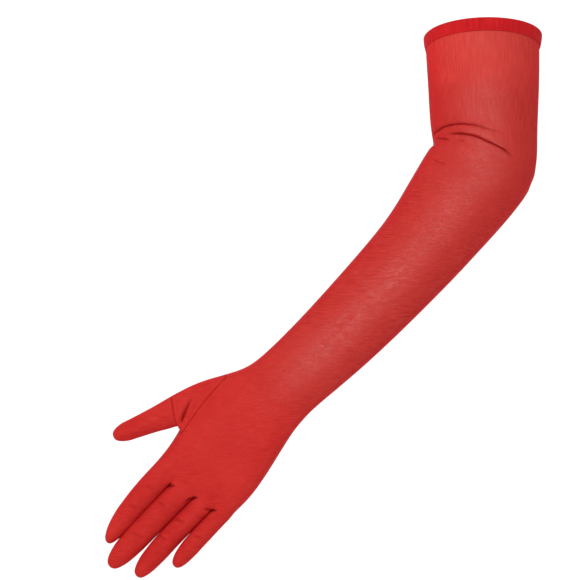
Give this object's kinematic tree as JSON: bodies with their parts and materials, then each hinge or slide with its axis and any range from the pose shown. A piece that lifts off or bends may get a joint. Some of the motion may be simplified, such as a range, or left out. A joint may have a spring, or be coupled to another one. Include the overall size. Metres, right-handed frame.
{
  "type": "opera glove",
  "caption": "Long sheer stretch tulle glove for a right hand in its worn shape: a soft hollow sleeve bent at the elbow, closed fingers, a set-in thumb and a folded elastic hem.",
  "frame": {"origin": "centre of the arm opening, at the top edge of the hem", "axes": "+Z out of the arm opening, up the upper arm; the palm faces -Y; the hand reaches down towards -X"},
  "size_m": [0.3373, 0.086, 0.4256],
  "materials": {
    "tulle": "matte, sheer",
    "doubled_tulle": "matte, doubled over elastic"
  },
  "bodies": {
    "root": {"palm_panel": "tulle", "back_panel": "tulle", "thumb_gusset": "tulle", "thumb": "tulle", "hem_band": "doubled_tulle"}
  },
  "joints": []
}
